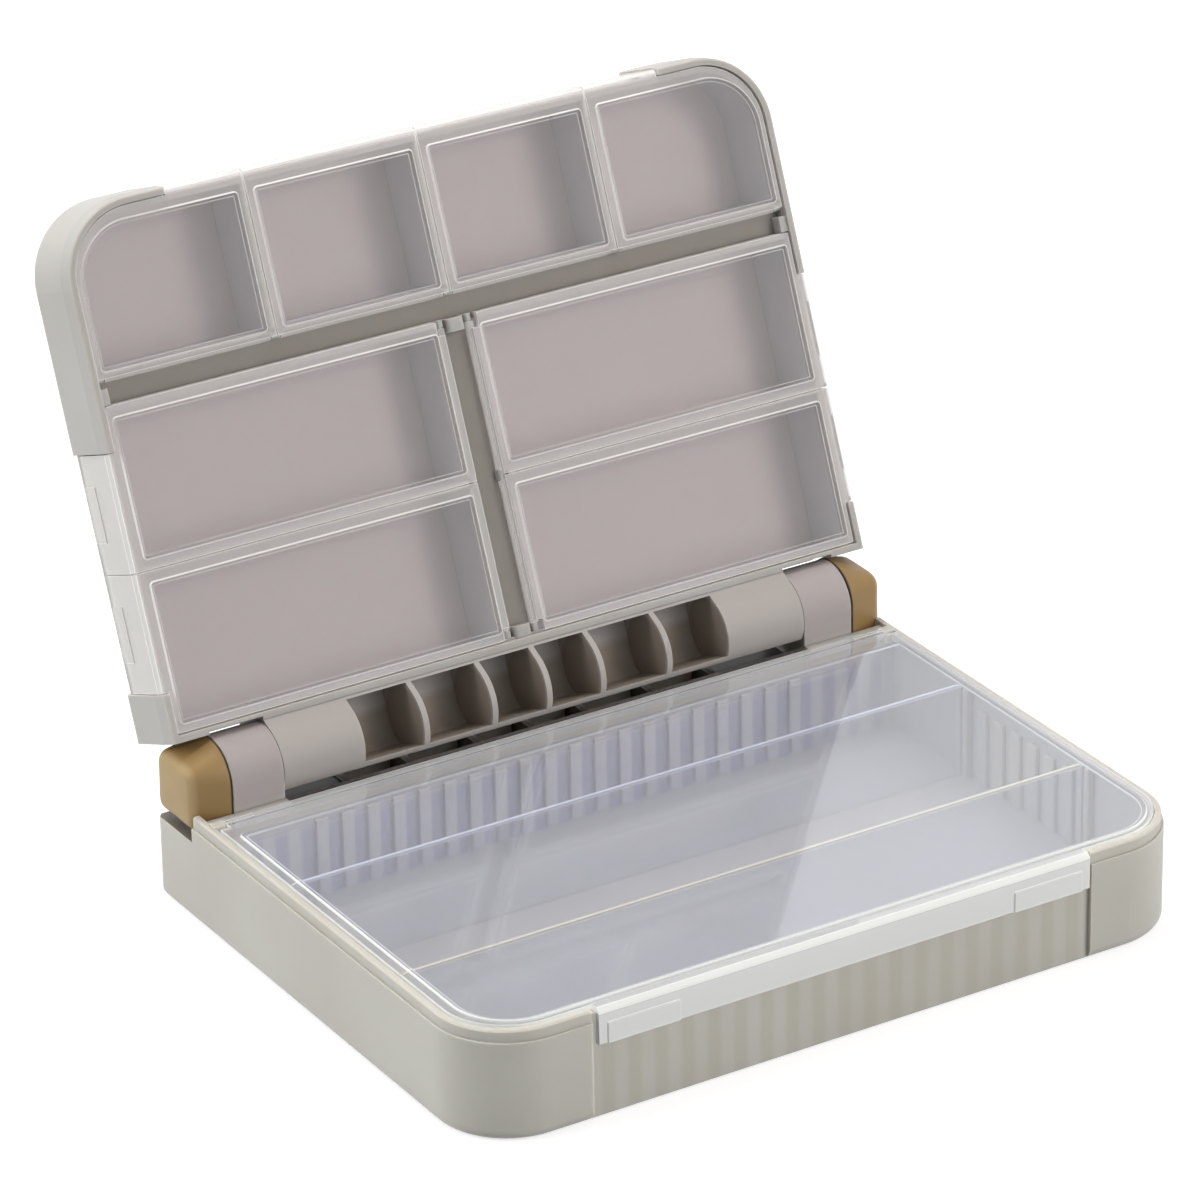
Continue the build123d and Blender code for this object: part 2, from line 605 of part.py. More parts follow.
def wide_lid(s, row):
    """A lid of the near rows; its pivots are beside the middle groove, its lip over the side wall."""
    if row == "near":
        v0, v1 = near_wall_inner_v - 0.2, row_v - 0.2
        panel_v = (14.2, 49.8)
        lip_v = (recess_near_v + 0.3, v1)
        lugs = (near_wall_inner_v + 1.8, row_v - lug_half)
        bridge = (v0 - 1, bridge_near_v[1] + 0.3)
    else:
        v0, v1 = row_v + 0.2, groove_v[0] - 0.2
        panel_v = (55.0, 90.5)
        lip_v = (v0, recess_far_v - 0.3)
        lugs = (row_v + lug_half, groove_v[0] - 1.8)
        bridge = (bridge_far_v[0] - 0.3, v1 + 1)
    inner = wide_axis_u
    outer_edge = half_width - rim_width - 0.4
    lid = slab(outline(inner, outer_edge, v0, v1, (0, 0.4), (0, 0.4)), upper_lid_under, lid_border_w)
    lid += raised_panel(5.9, 96.8, panel_v[0], panel_v[1])
    lid -= panel_hollow(5.9, 96.8, panel_v[0], panel_v[1])

    # inner edge: bar and stub pivots along v, with a corner cut out round the bridge
    b0, b1 = lugs[0] + 0.25, lugs[1] - 0.25
    lid += along(Pos(wide_axis_u, 0) * hinge_edge(), b0, b1)
    lid -= box(0, bridge_notch_u, bridge[0], bridge[1], upper_axis_w + upper_barrel_radius, rim_w)
    lid += rod_y(b0 - 1.2, b1 + 1.2, wide_axis_u, upper_axis_w, upper_pin_radius)

    # outer edge: the lip with its thumb tab
    wall_face = half_width - side_recess + 0.35
    outer = wall_face + lips_thickness
    back = lid_face_w - lips_depth
    profile = Polyline(
        (outer_edge - 1, upper_lid_under), (outer_edge - 1, lid_border_w), (outer - 0.8, lid_border_w),
        (outer, lid_border_w - 0.8), (outer, back), (wall_face, back), (wall_face, upper_lid_under),
        close=True,
    )
    lid += along(make_face(profile), lip_v[0], lip_v[1])
    middle = (lip_v[0] + lip_v[1]) / 2
    lid += box(outer - 0.3, outer + 0.3, middle - 7, middle + 7, back, back + 5.2)
    if s < 0:
        lid = mirror(lid, about=Plane.YZ)
    return upper.location * lid


def main():
    os.makedirs("parts", exist_ok=True)
    nodes = {
        "lower_tray": lower_tray(),
        "lower_lid": lower_lid(),
        "lower_lid_pin_left": lower_lid_pin(-1),
        "lower_lid_pin_right": lower_lid_pin(1),
        "hinge_barrel": hinge_barrel(),
        "hinge_pin_left": hinge_pin(-1),
        "hinge_pin_right": hinge_pin(1),
        "end_cap_left": end_cap(-1),
        "end_cap_right": end_cap(1),
        "upper_tray": upper_tray(),
    }
    for name, y in divider_ys.items():
        nodes[name] = long_divider(y)
    for index in range(4):
        nodes[f"top_lid_{index + 1}"] = top_lid(index)
    for side_name, s in (("left", -1), ("right", 1)):
        for row in ("near", "far"):
            nodes[f"wide_lid_{side_name}_{row}"] = wide_lid(s, row)
    for name, shape in nodes.items():
        export_step(shape, f"parts/{name}.step")


main()
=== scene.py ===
"""Finish, stage and view for an open terminal tackle box with clear compartment lids."""

from math import pi, radians

import bpy
import numpy as np
from mathutils import Matrix, Vector


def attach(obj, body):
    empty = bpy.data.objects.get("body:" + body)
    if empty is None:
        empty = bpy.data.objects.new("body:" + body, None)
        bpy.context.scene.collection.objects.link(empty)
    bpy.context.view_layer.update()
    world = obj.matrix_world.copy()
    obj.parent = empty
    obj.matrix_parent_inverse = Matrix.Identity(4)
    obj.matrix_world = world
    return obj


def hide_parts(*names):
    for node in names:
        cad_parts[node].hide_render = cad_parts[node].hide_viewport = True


bl_info = {
    "name": "Terminal Tackle Box",
    "version": (1, 0, 0),
    "blender": (4, 5, 0),
    "location": "View3D > Sidebar > Tackle Box",
    "description": "Gives the tackle box its plastics and sets the stage around it",
    "category": "Object",
}

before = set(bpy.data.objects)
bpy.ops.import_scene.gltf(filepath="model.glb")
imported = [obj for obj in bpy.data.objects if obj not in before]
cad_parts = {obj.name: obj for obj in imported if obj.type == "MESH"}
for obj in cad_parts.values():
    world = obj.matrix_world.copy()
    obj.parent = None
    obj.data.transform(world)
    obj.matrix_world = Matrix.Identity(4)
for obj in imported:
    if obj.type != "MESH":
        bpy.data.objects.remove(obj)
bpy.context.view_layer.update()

MM = 0.001

# The upper tray is turned about the hinge pin: V runs from the pin to the tray's far edge and
# W runs out of the face that carries the lids.
HINGE = Vector((0.0, 66.3, 34.2)) * MM
W_AXIS = Vector((0.0, -0.927184, 0.374607))
V_AXIS = Vector((0.0, 0.374607, 0.927184))
UP = Vector((0.0, 0.0, 1.0))

UPPER_LIDS = (
    "top_lid_1",
    "top_lid_2",
    "top_lid_3",
    "top_lid_4",
    "wide_lid_left_near",
    "wide_lid_left_far",
    "wide_lid_right_near",
    "wide_lid_right_far",
)
# the rear divider's top edge looks bluish white and the front one's cream
DIVIDERS = {"long_divider_rear": "#E8EAF4", "long_divider_front": "#F3EBCB"}
CAPS = ("end_cap_left", "end_cap_right")
PINS = ("hinge_pin_left", "hinge_pin_right", "lower_lid_pin_left", "lower_lid_pin_right")

# Where the tones of the base change, in mm from the frame's origin.
RIB_PITCH = 7.23
BAY_X = (-69.6, 69.6)
BAY_FACE_Y = (-78.0, -74.4)
RIBS_Z = (0.0, 19.0)
REAR_WALL_Y = (50.2, 51.8)
CAVITY_X = (-98.0, 98.0)
TROUGH_X = (-75.3, 75.3)
TROUGH_Y = (54.0, 70.5)
TROUGH_Z = (5.0, 28.2)
WELLS_X = (-54.6, 54.6)
WELLS_Y = (53.4, 73.9)
WELLS_Z = (3.0, 22.1)
WELL_RIBS_Z = (22.45, 23.6)
CAP_ROOM_X = (89.8, 102.0)
CAP_ROOM_Y = (58.2, 75.6)
REAR_DECK_Z = (22.25, 22.5)
KNUCKLE_Y = (55.0, 77.0)
KNUCKLE_Z = (29.5, 45.0)
CAP_END_X = (99.6, 101.0)
CAP_JOINT_X = (89.0, 90.15)

# Where those of the upper tray and barrel change, in mm: X along the hinge, V from the pin to the
# tray's far edge, W out of its face, and for the cells the distance from the pin. The bins end
# where X and V add up to BINS_CORNER, at the tray's rounded corners.
GROOVE_W = (-0.5, 0.3)
BINS_X = (-97.6, 97.6)
BINS_V = (12.0, 138.6)
BINS_W = (-16.0, -0.7)
BINS_CORNER = (-1000.0, 228.6)
MIDDLE_SLOT_X = (-1.0, 3.9)
NEAR_ROWS_V = (0.0, 93.0)
LONG_SLOT_V = (93.0, 99.2)
CELL_RADIUS = (-1.0, 8.6)

# Heights in mm that part a clear moulding's lip, border and panel: over the frame's origin for
# the lower lid and the dividers, over the hinge pin along W for the upper lids.
LOWER_LID_LEVELS = (28.2, 29.6)
DIVIDER_LEVELS = (26.7, 27.5)
UPPER_LID_LEVELS = (2.35, 3.6)

# The colour of painted light or shade at each place that differs from its moulding's own tone, and how
# far it goes there.
TONES = {
    "bay rib shade": ("#A29C8E", 0.36),
    "rear wall": ("#C2C1C8", 0.7),
    "rear wall rib shade": ("#8F8EAC", 0.75),
    "trough_shade": ("#1E1B17", 1.0),
    "well_shade": ("#2E2922", 1.0),
    "well rib shade": ("#4F483F", 1.0),
    "shade on the deck under the caps": ("#5A5249", 0.85),
    "knuckle_shade": ("#A59B9A", 0.9),
    "groove shade": ("#88827B", 1.0),
    "bin wall light": ("#BEBDC2", 1.0),
    "bin floor light": ("#BCB2B1", 1.0),
    "cells": ("#8A7F74", 0.9),
    "cap end light": ("#B09A72", 0.4),
    "cap joint shade": ("#1F150C", 0.9),
}

# Each soft lamp: direction from the object's middle, distance and width in metres, colour.
LAMPS = {
    "key": ((-0.85, 0.4, 0.45), 1.8, 1.2, (0.97, 1.0, 1.0)),
    "top": ((0.0, 0.45, 0.89), 1.2, 0.9, (1.0, 1.0, 1.0)),
    "softbox": ((0.42, -0.665, 0.616), 1.4, 0.42, (1.0, 0.91, 0.86)),
    "front": ((0.35, -0.92, 0.2), 1.5, 1.2, (0.9, 0.98, 1.0)),
}
MIDDLE = Vector((0.0, 0.0, 0.05))

# The view of the photograph, from the perspective of the tray's edges.
VIEW_PLACE = Vector((-751.65, -1199.92, 767.52)) * MM
VIEW_RIGHT = Vector((0.84969, -0.52706, -0.01522))
VIEW_UP = Vector((0.24086, 0.36230, 0.90040))
VIEW_LENS = 197.98


def linear(hex_colour):
    """The linear red, green and blue of an sRGB hex value."""
    parts = [int(hex_colour[i : i + 2], 16) / 255 for i in (1, 3, 5)]
    return tuple(c / 12.92 if c <= 0.04045 else ((c + 0.055) / 1.055) ** 2.4 for c in parts)


def add_node(tree, kind, inputs=None, **settings):
    """Adds a node. Settings are its own properties; inputs are values or other nodes' outputs."""
    node = tree.nodes.new(kind)
    for name, value in settings.items():
        setattr(node, name, value)
    for key, value in (inputs or {}).items():
        if isinstance(value, bpy.types.NodeSocket):
            tree.links.new(value, node.inputs[key])
        else:
            node.inputs[key].default_value = value
    return node


def new_material(name):
    """An empty material and its node tree."""
    material = bpy.data.materials.new(name)
    material.use_nodes = True
    material.node_tree.nodes.clear()
    return material, material.node_tree


def rgba(colour):
    """A linear colour with full opacity."""
    return (*colour, 1.0)


def give(material, names):
    """Puts one material on CAD nodes, in every slot they have."""
    for name in names:
        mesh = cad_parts[name].data
        mesh.materials.clear()
        mesh.materials.append(material)


def band_of(tree, value, limits, soft=0.1):
    """1 where value lies between two limits, falling to 0 over soft beyond them, all in mm."""
    low, high = limits
    ends = [
        add_node(
            tree, "ShaderNodeMapRange", {"Value": value, "From Min": start * MM, "From Max": end * MM}
        ).outputs["Result"]
        for start, end in ((low - soft, low), (high + soft, high))
    ]
    return add_node(tree, "ShaderNodeMath", {0: ends[0], 1: ends[1]}, operation="MULTIPLY").outputs[0]


def toned(tree, tone, masks, place):
    """The tone moved to that of a place where all the masks are 1."""
    colour, share = TONES[place]
    for mask in masks:
        share = add_node(tree, "ShaderNodeMath", {0: share, 1: mask}, operation="MULTIPLY").outputs[0]
    return add_node(
        tree, "ShaderNodeMix", {0: share, 6: tone, 7: rgba(linear(colour))}, data_type="RGBA"
    ).outputs[2]


def base_tones(tree, where, tone):
    """Painted shade by place on the lower tray: over its ribs, in the hollows under the barrel and the
    caps and on its knuckles, with a lighter, bluer rear wall.
    """
    place = add_node(tree, "ShaderNodeSeparateXYZ", {"Vector": where}).outputs
    out = add_node(tree, "ShaderNodeMath", {0: place["X"]}, operation="ABSOLUTE").outputs[0]
    # painted shade of both rows of inner ribs, as soft bands: darker where they show through the bay,
    # lilac between them on the rear wall, which is itself painted lighter and bluer
    turns = add_node(
        tree, "ShaderNodeMath", {0: place["X"], 1: 2 * pi / (RIB_PITCH * MM)}, operation="MULTIPLY"
    ).outputs[0]
    wave = add_node(tree, "ShaderNodeMath", {0: turns}, operation="COSINE").outputs[0]
    between = add_node(
        tree, "ShaderNodeMapRange", {"Value": wave, "From Min": -0.8, "From Max": 0.8},
        interpolation_type="SMOOTHSTEP",
    ).outputs["Result"]
    ribbed = band_of(tree, place["Z"], RIBS_Z, 4.0)
    bay = (band_of(tree, place["X"], BAY_X), band_of(tree, place["Y"], BAY_FACE_Y), ribbed)
    tone = toned(tree, tone, (between, *bay), "bay rib shade")
    wall = (band_of(tree, place["Y"], REAR_WALL_Y), band_of(tree, place["X"], CAVITY_X), ribbed)
    tone = toned(tree, tone, wall, "rear wall")
    tone = toned(tree, tone, (between, *wall), "rear wall rib shade")
    # painted shade under the barrel: the hollow beneath it and the well floors and ribs below lie in its
    # shadow
    trough_shade = (
        band_of(tree, place["X"], TROUGH_X),
        band_of(tree, place["Y"], TROUGH_Y, 2.0),
        band_of(tree, place["Z"], TROUGH_Z),
    )
    tone = toned(tree, tone, trough_shade, "trough_shade")
    well_shade = (band_of(tree, place["X"], WELLS_X), band_of(tree, place["Y"], WELLS_Y, 0.05))
    tone = toned(tree, tone, (*well_shade, band_of(tree, place["Z"], WELLS_Z)), "well_shade")
    tone = toned(tree, tone, (*well_shade, band_of(tree, place["Z"], WELL_RIBS_Z, 0.05)), "well rib shade")
    # painted shade on the deck in the narrow gap under the end caps
    deck = (
        band_of(tree, out, CAP_ROOM_X),
        band_of(tree, place["Y"], CAP_ROOM_Y),
        band_of(tree, place["Z"], REAR_DECK_Z, 0.02),
    )
    tone = toned(tree, tone, deck, "shade on the deck under the caps")
    # painted shade: each knuckle a little darker and pinker
    knuckle_shade = (band_of(tree, place["Y"], KNUCKLE_Y), band_of(tree, place["Z"], KNUCKLE_Z, 2.0))
    return toned(tree, tone, knuckle_shade, "knuckle_shade")


def upper_tones(tree, where, normal, tone):
    """Painted light and shade by place on the upper tray: dark grooves, and in the bins lighter pinker
    floors and greyer sides.
    """
    spoke = add_node(
        tree, "ShaderNodeVectorMath", {0: where, 1: tuple(HINGE)}, operation="SUBTRACT"
    ).outputs[0]
    reach, height, facing = (
        add_node(
            tree, "ShaderNodeVectorMath", {0: vector, 1: tuple(axis)}, operation="DOT_PRODUCT"
        ).outputs["Value"]
        for vector, axis in ((spoke, V_AXIS), (spoke, W_AXIS), (normal, W_AXIS))
    )
    floors = add_node(
        tree, "ShaderNodeMapRange", {"Value": facing, "From Min": 0.65, "From Max": 0.7}
    ).outputs["Result"]
    # painted shade on the grooves' floors, deep and narrow between the lids
    tone = toned(tree, tone, (band_of(tree, height, GROOVE_W, 0.02), floors), "groove shade")
    # painted light in the bins: their floors lighter and pinker where the front lamps fall, their walls
    # lighter and greyer; the outside of the rounded corners and the slots behind the bars are no part of
    # them
    along = add_node(tree, "ShaderNodeSeparateXYZ", {"Vector": where}).outputs["X"]
    side = add_node(tree, "ShaderNodeMath", {0: along}, operation="ABSOLUTE").outputs[0]
    slant = add_node(tree, "ShaderNodeMath", {0: side, 1: reach}, operation="ADD").outputs[0]
    middle = band_of(tree, side, MIDDLE_SLOT_X, 0.05)
    near_rows = band_of(tree, reach, NEAR_ROWS_V, 0.05)
    long_slot = band_of(tree, reach, LONG_SLOT_V, 0.05)
    slots = add_node(
        tree, "ShaderNodeMath", {0: middle, 1: near_rows, 2: long_slot},
        operation="MULTIPLY_ADD", use_clamp=True,
    ).outputs[0]
    bins = (
        band_of(tree, along, BINS_X),
        band_of(tree, height, BINS_W, 0.2),
        band_of(tree, reach, BINS_V),
        band_of(tree, slant, BINS_CORNER),
        add_node(tree, "ShaderNodeMath", {0: 1.0, 1: slots}, operation="SUBTRACT").outputs[0],
    )
    tone = toned(tree, tone, bins, "bin wall light")
    return toned(tree, tone, (*bins, floors), "bin floor light")


def barrel_tones(tree, where, tone):
    """Painted shade inside its cells makes them look brown and deep."""
    spoke = add_node(
        tree, "ShaderNodeVectorMath", {0: where, 1: tuple(HINGE)}, operation="SUBTRACT"
    ).outputs[0]
    flat = add_node(
        tree, "ShaderNodeVectorMath", {0: spoke, 1: (0.0, 1.0, 1.0)}, operation="MULTIPLY"
    ).outputs[0]
    radius = add_node(tree, "ShaderNodeVectorMath", {0: flat}, operation="LENGTH").outputs["Value"]
    return toned(tree, tone, (band_of(tree, radius, CELL_RADIUS, 0.8),), "cells")


def polypropylene(name, colour, shade, region, body=1.0):
    """Injection moulded polypropylene, cloudy enough for light to spread a few millimetres in it.

    The eye sees a soft satin surface whose edges glow a little and whose tone drifts slowly
    from colour to shade over a few centimetres, where the melt flowed. Without a shade it stays
    even. Region says whose painted light and shade by place it has, and body how much light
    spreads in it.
    """
    material, tree = new_material(name)
    coordinates = add_node(tree, "ShaderNodeTexCoord").outputs
    where = coordinates["Object"]
    tone = rgba(colour)
    if shade is not None:
        # patches of about 35 mm
        flow = add_node(
            tree, "ShaderNodeTexNoise",
            {"Vector": where, "Scale": 1 / 0.035, "Detail": 2.0, "Roughness": 0.5},
        ).outputs["Fac"]
        spread = add_node(
            tree, "ShaderNodeMapRange", {"Value": flow, "From Min": 0.35, "From Max": 0.65}
        ).outputs["Result"]
        tone = add_node(
            tree, "ShaderNodeMix", {0: spread, 6: rgba(colour), 7: rgba(shade)}, data_type="RGBA"
        ).outputs[2]
    if region == "base":
        tone = base_tones(tree, where, tone)
    elif region == "upper":
        tone = upper_tones(tree, where, coordinates["Normal"], tone)
    else:
        tone = barrel_tones(tree, where, tone)
    # tool grain: about 0.5 mm, drawn coarser than the real 0.1 mm so that it shows at all
    grain = add_node(
        tree, "ShaderNodeTexNoise", {"Vector": where, "Scale": 1 / 0.0005, "Detail": 1.0}
    ).outputs["Fac"]
    bump = add_node(
        tree, "ShaderNodeBump", {"Height": grain, "Strength": 0.03, "Distance": 0.1 * MM}
    ).outputs["Normal"]
    surface = add_node(
        tree, "ShaderNodeBsdfPrincipled",
        {
            "Base Color": tone, "Roughness": 0.4, "IOR": 1.49, "Subsurface Weight": body,
            "Subsurface Radius": (1.0, 0.85, 0.7), "Subsurface Scale": 2.5 * MM, "Normal": bump,
        },
    )
    add_node(tree, "ShaderNodeOutputMaterial", {"Surface": surface.outputs[0]})
    return material


def clear_styrene(name, tint, hazes, axis, levels, shares, ior=1.57):
    """Injection moulded clear polystyrene.

    The eye sees sharp reflections and what lies behind, faintly milky, with bright scattering
    edges, paler borders and moulded lips that look frosted. The lip lies where the position's
    reach along the axis is below the first of the levels, in mm, the border between both, and the
    panel above. The shares of milky scatter are those of the lip, the border, the panel and the
    edges. The hazes are the colours of that scatter outside the panel, in the panel and at the
    edges, or one colour for all.
    """
    material, tree = new_material(name)
    where = add_node(tree, "ShaderNodeTexCoord").outputs
    height, facing = (
        add_node(
            tree, "ShaderNodeVectorMath", {0: where[key], 1: tuple(axis)}, operation="DOT_PRODUCT"
        ).outputs["Value"]
        for key in ("Object", "Normal")
    )
    lip_top, border_top = (level * MM for level in levels)
    low = add_node(
        tree, "ShaderNodeMapRange",
        {
            "Value": height, "From Min": lip_top - 0.2 * MM, "From Max": lip_top,
            "To Min": shares[0], "To Max": shares[1],
        },
    ).outputs["Result"]
    panel = add_node(
        tree, "ShaderNodeMapRange",
        {"Value": height, "From Min": border_top, "From Max": border_top + 0.1 * MM},
    ).outputs["Result"]
    share = add_node(tree, "ShaderNodeMix", {0: panel, 2: low, 3: shares[2]}).outputs[0]
    # scatter counts once, where light enters the plate
    shape = add_node(tree, "ShaderNodeNewGeometry").outputs
    entering = add_node(
        tree, "ShaderNodeMath", {0: 1.0, 1: shape["Backfacing"]}, operation="SUBTRACT"
    ).outputs[0]
    share = add_node(tree, "ShaderNodeMath", {0: share, 1: entering}, operation="MULTIPLY").outputs[0]
    # moulded edges, within 0.3 mm of a corner, and the flanks of the plates
    rounded = add_node(tree, "ShaderNodeBevel", {"Radius": 0.3 * MM}, samples=6).outputs[0]
    bend = add_node(
        tree, "ShaderNodeVectorMath", {0: rounded, 1: shape["True Normal"]}, operation="DOT_PRODUCT"
    ).outputs["Value"]
    corner = add_node(
        tree, "ShaderNodeMapRange", {"Value": bend, "From Min": 0.985, "From Max": 0.90}
    ).outputs["Result"]
    turned = add_node(tree, "ShaderNodeMath", {0: facing}, operation="ABSOLUTE").outputs[0]
    flank = add_node(
        tree, "ShaderNodeMapRange", {"Value": turned, "From Min": 0.95, "From Max": 0.8}
    ).outputs["Result"]
    plate = add_node(
        tree, "ShaderNodeMath", {0: height, 1: lip_top}, operation="GREATER_THAN"
    ).outputs[0]
    side = add_node(tree, "ShaderNodeMath", {0: flank, 1: plate}, operation="MULTIPLY").outputs[0]
    edge = add_node(tree, "ShaderNodeMath", {0: corner, 1: side}, operation="MAXIMUM").outputs[0]
    share = add_node(tree, "ShaderNodeMix", {0: edge, 2: share, 3: shares[3]}).outputs[0]
    glass = add_node(
        tree, "ShaderNodeBsdfPrincipled",
        {"Base Color": rgba(tint), "Roughness": 0.04, "IOR": ior, "Transmission Weight": 1.0},
    ).outputs[0]
    scatter = rgba(linear(hazes[0]))
    for mask, haze in zip((panel, edge), hazes[1:]):
        scatter = add_node(
            tree, "ShaderNodeMix", {0: mask, 6: scatter, 7: rgba(linear(haze))}, data_type="RGBA"
        ).outputs[2]
    milk = add_node(
        tree, "ShaderNodeBsdfPrincipled", {"Base Color": scatter, "Roughness": 0.3, "IOR": 1.55}
    ).outputs[0]
    cloudy = add_node(tree, "ShaderNodeMixShader", {0: share, 1: glass, 2: milk}).outputs[0]
    # lamps shine through the lids
    shadow = add_node(tree, "ShaderNodeLightPath").outputs["Is Shadow Ray"]
    through = add_node(
        tree, "ShaderNodeBsdfTransparent", {"Color": (0.96, 0.96, 0.975, 1.0)}
    ).outputs[0]
    surface = add_node(tree, "ShaderNodeMixShader", {0: shadow, 1: cloudy, 2: through}).outputs[0]
    add_node(tree, "ShaderNodeOutputMaterial", {"Surface": surface})
    return material


def cap_surface(side):
    """An end cap of the hinge as one closed skin, for side -1 on the left or 1 on the right.

    It is a stack of rings about the hinge line. A ring is the curve where the p-th powers of
    |cos| over its reach in Y and of |sin| over its reach in Z add up to the -p-th power of the
    radius. From the knuckle outwards the reaches shrink in a straight line from the knuckle's own
    radius to the cap's flatter end, while p above the hinge grows from 2, a circle, to 4.6, a
    rounded box; below it p stays 9, a straight skirt. The outer rim is a quarter round taken off
    the radius, and the end face is slightly crowned. The square spigot is the first rings, and
    single points close both ends.
    """
    around = 128
    angle = np.arange(around) * 2 * pi / around
    cosine, sine = np.cos(angle), np.sin(angle)
    upper_half = sine >= 0

    # In mm: the spigot's tip, the cap's joint and its outer end along the hinge, then half the
    # spigot's width, the knuckle's radius and how far the outer end falls back from it in front
    # and above, then the joint's and the rim's rounding and the end face's crown.
    tip, start, end = 87.1, 89.95, 100.5
    spigot, knuckle, front_loss, top_loss = 3.55, 9.9, 2.5, 3.9
    lead, rim, crown = 0.3, 2.3, 0.3
    run = np.linspace(0.0, 1.0, 26)
    turn = np.linspace(0.0, pi / 2, 9)[1:]
    entry = np.linspace(0.0, pi / 2, 5)[:-1]
    x_of = np.concatenate([
        start + lead * (1 - np.cos(entry)),
        start + lead + run * (end - crown - rim - start - lead),
        end - crown - rim + rim * np.sin(turn),
    ])
    inset = np.concatenate([
        lead * (1 - np.sin(entry)), np.zeros(len(run)), rim * (1 - np.cos(turn))
    ])
    share = ((x_of - start) / (end - start))[:, None]
    power = np.where(upper_half, 2.0 + 2.6 * share ** 0.8, 9.0)
    reach_y = np.where(cosine < 0, knuckle - front_loss * share, knuckle)
    reach_z = np.where(upper_half, knuckle - top_loss * share, knuckle)
    radius = ((np.abs(cosine) / reach_y) ** power + (np.abs(sine) / reach_z) ** power) ** (-1 / power)
    radius = radius - inset[:, None]

    square = spigot / np.maximum(np.abs(cosine), np.abs(sine))
    inner = np.stack([square, square, 0.985 * radius[0]])
    inner_x = np.array([tip, start, start])
    shrink = np.array([0.8, 0.55, 0.25])
    face = shrink[:, None] * radius[-1]
    face_x = end - crown * shrink ** 2
    rings = np.concatenate([inner, radius, face])
    ring_x = np.concatenate([inner_x, x_of, face_x])

    x = side * np.broadcast_to(ring_x[:, None], rings.shape)
    hinge_y, hinge_z = HINGE.y / MM, HINGE.z / MM
    grid = np.stack([x, hinge_y + rings * cosine, hinge_z + rings * sine], axis=-1).reshape(-1, 3)
    ends = np.array([[side * tip, hinge_y, hinge_z], [side * end, hinge_y, hinge_z]])
    points = np.concatenate([grid, ends]) * MM

    column = np.arange(around)
    after = (column + 1) % around
    row = np.arange(len(rings) - 1)[:, None] * around
    quads = np.stack([row + column, row + after, row + around + after, row + around + column], axis=-1)
    quads = quads.reshape(-1, 4)
    first, last = len(grid), len(grid) + 1
    low_fan = np.stack([after, column, np.full(around, first)], axis=-1)
    rim_row = (len(rings) - 1) * around
    high_fan = np.stack([rim_row + column, rim_row + after, np.full(around, last)], axis=-1)
    if side < 0:
        quads, low_fan, high_fan = quads[:, ::-1], low_fan[:, ::-1], high_fan[:, ::-1]
    faces = quads.tolist() + low_fan.tolist() + high_fan.tolist()

    mesh = bpy.data.meshes.new("end cap")
    mesh.from_pydata(points.tolist(), [], faces)
    mesh.shade_smooth()
    mesh.set_sharp_from_angle(angle=radians(40))
    return mesh


def tan_abs(name, colour, shade):
    """Injection moulded tan ABS: an even satin colour, with a faint drift of tone.

    Painted light makes the outer end faces paler, and painted shade darkens the joint line to the
    knuckle.
    """
    material, tree = new_material(name)
    where = add_node(tree, "ShaderNodeTexCoord").outputs["Object"]
    # patches of about 12 mm
    flow = add_node(
        tree, "ShaderNodeTexNoise", {"Vector": where, "Scale": 1 / 0.012, "Detail": 2.0}
    ).outputs["Fac"]
    tone = add_node(
        tree, "ShaderNodeMix", {0: flow, 6: rgba(colour), 7: rgba(shade)}, data_type="RGBA"
    ).outputs[2]
    place = add_node(tree, "ShaderNodeSeparateXYZ", {"Vector": where}).outputs
    out = add_node(tree, "ShaderNodeMath", {0: place["X"]}, operation="ABSOLUTE").outputs[0]
    # painted light on the outer end faces, and painted shade in the joint line to the knuckle
    tone = toned(tree, tone, (band_of(tree, out, CAP_END_X, 1.6),), "cap end light")
    tone = toned(tree, tone, (band_of(tree, out, CAP_JOINT_X, 0.25),), "cap joint shade")
    # tool grain: about 0.4 mm, drawn coarser than the real 0.1 mm so that it shows at all
    grain = add_node(
        tree, "ShaderNodeTexNoise", {"Vector": where, "Scale": 1 / 0.0004, "Detail": 1.0}
    ).outputs["Fac"]
    bump = add_node(
        tree, "ShaderNodeBump", {"Height": grain, "Strength": 0.06, "Distance": 0.1 * MM}
    ).outputs["Normal"]
    surface = add_node(
        tree, "ShaderNodeBsdfPrincipled",
        {"Base Color": tone, "Roughness": 0.42, "IOR": 1.53, "Normal": bump},
    )
    add_node(tree, "ShaderNodeOutputMaterial", {"Surface": surface.outputs[0]})
    return material


def drawn_steel(name):
    """Drawn steel wire: grey metal, whose gloss changes in fine lines along its length."""
    material, tree = new_material(name)
    where = add_node(tree, "ShaderNodeTexCoord").outputs["Object"]
    # lines about 25 mm long and 0.25 mm apart
    stretch = add_node(
        tree, "ShaderNodeMapping", {"Vector": where, "Scale": (40.0, 4000.0, 4000.0)}
    ).outputs[0]
    lines = add_node(
        tree, "ShaderNodeTexNoise", {"Vector": stretch, "Scale": 1.0, "Detail": 2.0}
    ).outputs["Fac"]
    rough = add_node(
        tree, "ShaderNodeMapRange", {"Value": lines, "To Min": 0.25, "To Max": 0.45}
    ).outputs["Result"]
    surface = add_node(
        tree, "ShaderNodeBsdfPrincipled",
        {"Base Color": rgba(linear("#B9B9BB")), "Metallic": 1.0, "Roughness": rough},
    )
    add_node(tree, "ShaderNodeOutputMaterial", {"Surface": surface.outputs[0]})
    return material


